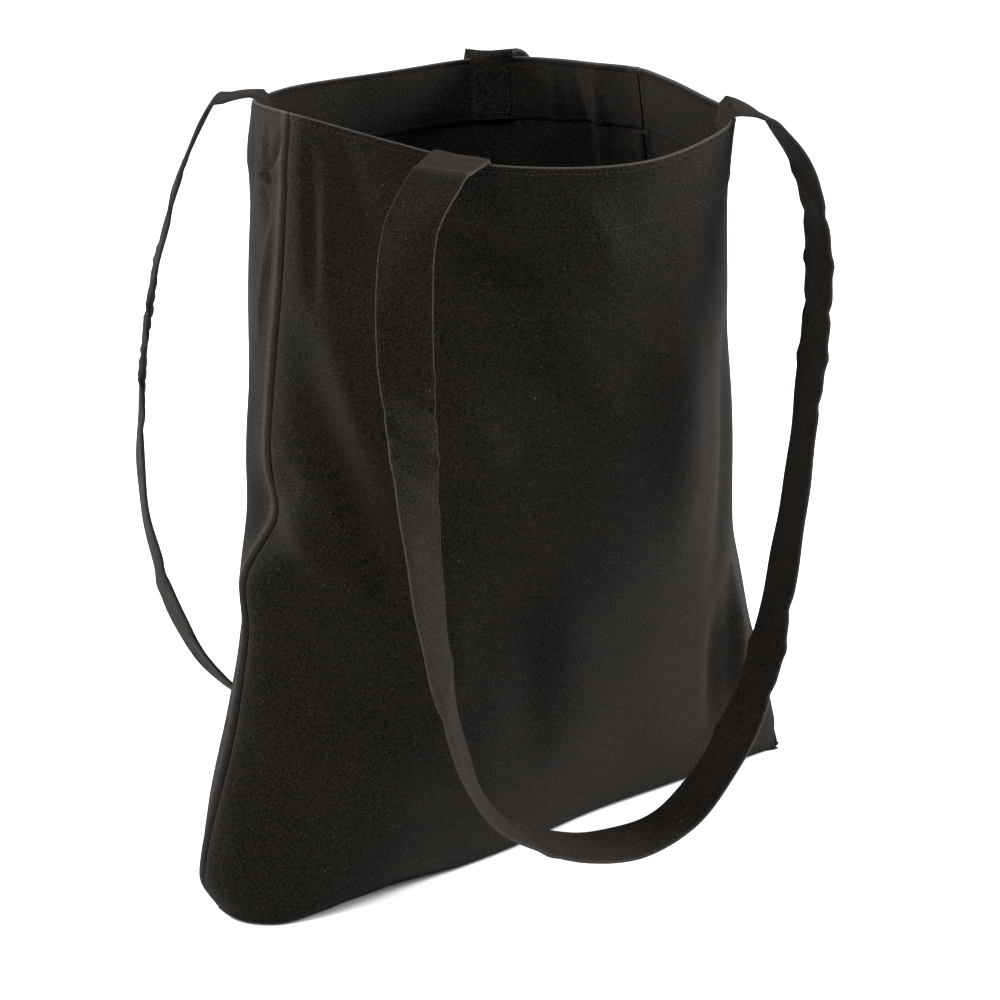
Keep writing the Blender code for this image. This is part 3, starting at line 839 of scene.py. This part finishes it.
def strap_path(route, left_share, right_share, is_front):
    """The whole strap from one sewn end to the other: rows of centre and width direction."""
    left = sewn_frames(left_share, is_front)
    right = sewn_frames(right_share, is_front)
    free = [(np.array(p), unit(np.array(d))) for p, d in route[1:-1]]
    for share, sewn, following in ((left_share, left, free[0]), (right_share, right, free[-1])):
        crest = RIM.at(np.array(share)) + np.array([0.0, 0.0, CREST_LIFT])
        crest = crest - wall_normal(np.array(share), np.array(0.99)) * RIM_ROLL
        across = sewn[-1][1]
        sewn.append((crest, across))
        reach = following[0] - crest
        crown = np.array([0.0, 0.0, CREST_CROWN])
        control = crest + reach * np.array([CREST_REACH, CREST_REACH, 0.0]) + crown
        for t in (0.30, 0.65):
            centre = crest * (1 - t) ** 2 + control * 2 * t * (1 - t) + following[0] * t**2
            sewn.append((centre, unit(across * (1 - t) + following[1] * t)))
    knots = left + free + right[::-1]
    rows = np.array([np.concatenate([centre, across]) for centre, across in knots])
    line = smooth_line(rows, 2 * rows[0] - rows[1], 2 * rows[-1] - rows[-2])
    return line, line_lengths(line)


def strap_frames(line, lengths, at):
    """Centre, tangent, width direction and face direction at lengths along the strap."""
    values = read_line(line, lengths, at)
    ahead = read_line(line, lengths, at + TANGENT_STEP)[:, :3]
    behind = read_line(line, lengths, at - TANGENT_STEP)[:, :3]
    tangent = unit(ahead - behind)
    across = values[:, 3:]
    across = unit(across - tangent * np.sum(across * tangent, axis=1)[:, None])
    return values[:, :3], tangent, across, np.cross(tangent, across)


def strap_section():
    """A folded strap's section: crowned in the middle, pressed along its stitches, round-edged."""
    half, thick = STRAP_WIDTH / 2, STRAP_THICKNESS / 2
    upper = []
    for x, y in ((-1.0, 0.0), (-0.985, 0.62), (-0.94, 0.90), (-0.88, 0.70), (-0.80, 0.98), (-0.45, 1.06),
                 (0.0, 1.10), (0.45, 1.06), (0.80, 0.98), (0.88, 0.70), (0.94, 0.90), (0.985, 0.62)):
        upper.append((x * half, y * thick))
    lower = [(-x, -y) for x, y in upper]
    return np.array(upper + lower)


def strap_wander(at, across_share, total):
    """Soft creases of the strap, none at its sewn ends: slow waves and the slanting folds of its twist."""
    free = np.clip(np.minimum(at, total - at) / 0.06 - 0.7, 0.0, 1.0)
    twist = np.zeros(np.broadcast(at, across_share).shape)
    for place, slant, width, depth in STRAP_FOLDS:
        away = at - place * total - slant * across_share
        twist = twist + depth * np.exp(-((away / width) ** 2))
    wave = 0.0003 * np.sin(at * 61.0 + 2.4 * across_share)
    wave = wave + 0.0003 * np.sin(at * 137.0 - 1.9 * across_share + 1.0)
    fold = 0.0006 * np.sin(at * 34.0) * (across_share**2 - 0.4)
    return free * (wave + fold + twist)


def make_half_strap(name, path, start, end, nodes):
    """Half a strap, from its sewn end to the middle of the loop, with the stitches along its edges."""
    line, lengths = path
    count = max(int(abs(end - start) / STRAP_STEP), 8)
    at = np.linspace(start, end, count + 1)
    centre, _, across, face = strap_frames(line, lengths, at)
    section = strap_section()
    points, uvs = [], []
    for x, y in section:
        wander = strap_wander(at, np.full(at.shape, x / (STRAP_WIDTH / 2)), lengths[-1])
        points.append(centre + across * x + face * (y + wander)[:, None])
        uvs.append(np.column_stack([at, np.full(at.shape, x + (0.05 if y > 0 else 0.0))]))
    # painted highlight along the strap's folded edges
    edge = np.clip((abs(section[:, 0]) / (STRAP_WIDTH / 2) - 0.95) / 0.05, 0.0, 1.0)
    painted_highlight = np.broadcast_to(STRAP_EDGE_HIGHLIGHT * edge, (len(at), len(section)))
    piece = swept(name, np.stack(points, 1), np.stack(uvs, 1), painted_highlight)
    finish_piece(piece, None, STRAP_CANVAS, nodes)
    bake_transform(piece)

    marks = np.arange(min(start, end) + 0.004, max(start, end), STITCH_PITCH)
    centre, ahead, across, face = strap_frames(line, lengths, marks)
    centres, directions, outs = [], [], []
    for side in (-EDGE_ROW, EDGE_ROW):
        for face_side in (-1.0, 1.0):
            lift = strap_wander(marks, np.full(marks.shape, side), lengths[-1])
            lift = lift + face_side * (0.74 * STRAP_THICKNESS / 2 - 0.00002)
            centres.append(centre + across * side * STRAP_WIDTH / 2 + face * lift[:, None])
            directions.append(ahead)
            outs.append(face * face_side)
    row = stitches(name + "_edge_stitches", np.vstack(centres), np.vstack(directions), np.vstack(outs),
                   STITCH_PITCH * STITCH_SHARE, THREAD * 0.75)
    finish_piece(row, None, THREAD_SPUN)
    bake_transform(row)


def box_stitches(name, share, is_front, node):
    """The box and cross that hold a sewn end, on the strap inside and on the panel outside."""
    half = STRAP_WIDTH / 2 * BOX_WIDTH_SHARE
    low, high = BOX_DEPTHS
    corners = [(-half, low), (half, low), (half, high), (-half, high)]
    runs = [(corners[k], corners[(k + 1) % 4]) for k in range(4)]
    runs += [(corners[0], corners[2]), (corners[1], corners[3])]
    centres, directions, outs = [], [], []
    for (x0, d0), (x1, d1) in runs:
        count = int(math.hypot(x1 - x0, d1 - d0) / (STITCH_PITCH * 0.85))
        for k in range(count):
            t = (k + 0.5) / count
            for side in (1.0, -1.0):
                ends = []
                for shift in (-0.03, 0.03):
                    here = np.array([share + (x0 + (x1 - x0) * (t + shift)) / RIM.length()])
                    rise = rise_below_rim(here, d0 + (d1 - d0) * (t + shift))
                    out = wall_normal(here, rise)
                    lift = relief(here, rise, is_front) - 0.00012
                    if side < 0:
                        lift = lift - 2 * RIM_ROLL - STRAP_THICKNESS - SEWN_GAP
                    ends.append((wall(here, rise) + out * lift[:, None])[0])
                centres.append((ends[0] + ends[1]) / 2)
                directions.append(ends[1] - ends[0])
                outs.append(out[0] * side)
    piece = stitches(name, np.array(centres), np.array(directions), np.array(outs), 0.0022)
    return finish_piece(piece, "bag", THREAD_SPUN, [node])


def make_straps(which, route, left_share, right_share, is_front):
    """Both halves of one strap. Each bends from the bag to its handle just outside the rim."""
    path = strap_path(route, left_share, right_share, is_front)
    total = path[1][-1]
    for side, share, start in (("left", left_share, 0.0), ("right", right_share, total)):
        away = unit(wall_normal(np.array(share), np.array(0.99)) * np.array([1.0, 1.0, 0.0]))
        name = f"{which}_handle_{side}"
        make_half_strap(
            name + "_strap", path, start, total / 2,
            [name + "_end", which + "_handle"],
        )
        box_stitches(name + "_box_stitches", share, is_front, name + "_stitching")


# ---------------------------------------------------------------- stage

def make_floor():
    bpy.ops.mesh.primitive_plane_add(size=FLOOR_SIZE)
    floor = bpy.context.object
    floor.name = "floor"
    material, nodes, links, shader = new_material("floor_pale")
    shader.inputs["Base Color"].default_value = (0.93, 0.93, 0.93, 1.0)
    shader.inputs["Roughness"].default_value = 0.35
    floor.data.materials.append(material)


def make_light(name, place, target, size, energy):
    data = bpy.data.lights.new(name, "AREA")
    data.energy = energy
    data.size = size
    light = bpy.data.objects.new(name, data)
    light.location = place
    light.rotation_euler = (Vector(target) - Vector(place)).to_track_quat("-Z", "Y").to_euler()
    bpy.context.scene.collection.objects.link(light)


def make_camera():
    data = bpy.data.cameras.new("camera")
    data.lens = CAMERA_LENS
    data.sensor_width = 36.0
    data.clip_end = 30.0
    camera = bpy.data.objects.new("camera", data)
    camera.location = CAMERA_PLACE
    camera.rotation_euler = Vector(CAMERA_FORWARD).to_track_quat("-Z", "Y").to_euler()
    bpy.context.scene.collection.objects.link(camera)
    bpy.context.scene.camera = camera


def make_studio():
    world = bpy.data.worlds.new("studio")
    world.use_nodes = True
    background = world.node_tree.nodes["Background"]
    background.inputs["Color"].default_value = (1.0, 1.0, 1.0, 1.0)
    background.inputs["Strength"].default_value = WORLD_STRENGTH
    bpy.context.scene.world = world
    for light in LIGHTS:
        make_light(*light)
    bpy.context.scene.view_settings.view_transform = "Standard"


CANVAS = canvas_material("canvas_woven", CANVAS_DARK, CANVAS_LIGHT, CANVAS_SHEEN)
STRAP_CANVAS = canvas_material("strap_woven", STRAP_DARK, STRAP_LIGHT, STRAP_SHEEN)
THREAD_SPUN = thread_material()

make_camera()
make_studio()
make_floor()

front = make_panel("front_canvas", 0.0, True, "front_panel")
back = make_panel("back_canvas", 0.5, False, "back_panel")
front_hem = make_hem("front_hem_canvas", 0.0, True, "front_hem")
back_hem = make_hem("back_hem_canvas", 0.5, False, "back_hem")
left_seam = make_side_seam("left_seam_canvas", 0.0, "left_side_seam")
right_seam = make_side_seam("right_seam_canvas", 0.5, "right_side_seam")
bottom = make_bottom_fold()
front_row = hem_stitches("front_hem_stitches", 0.0, True, "front_hem_stitching")
back_row = hem_stitches("back_hem_stitches", 0.5, False, "back_hem_stitching")
make_straps("front", FRONT_ROUTE, FRONT_LEFT_STRAP, FRONT_RIGHT_STRAP, True)
make_straps("back", BACK_ROUTE, BACK_LEFT_STRAP, BACK_RIGHT_STRAP, False)
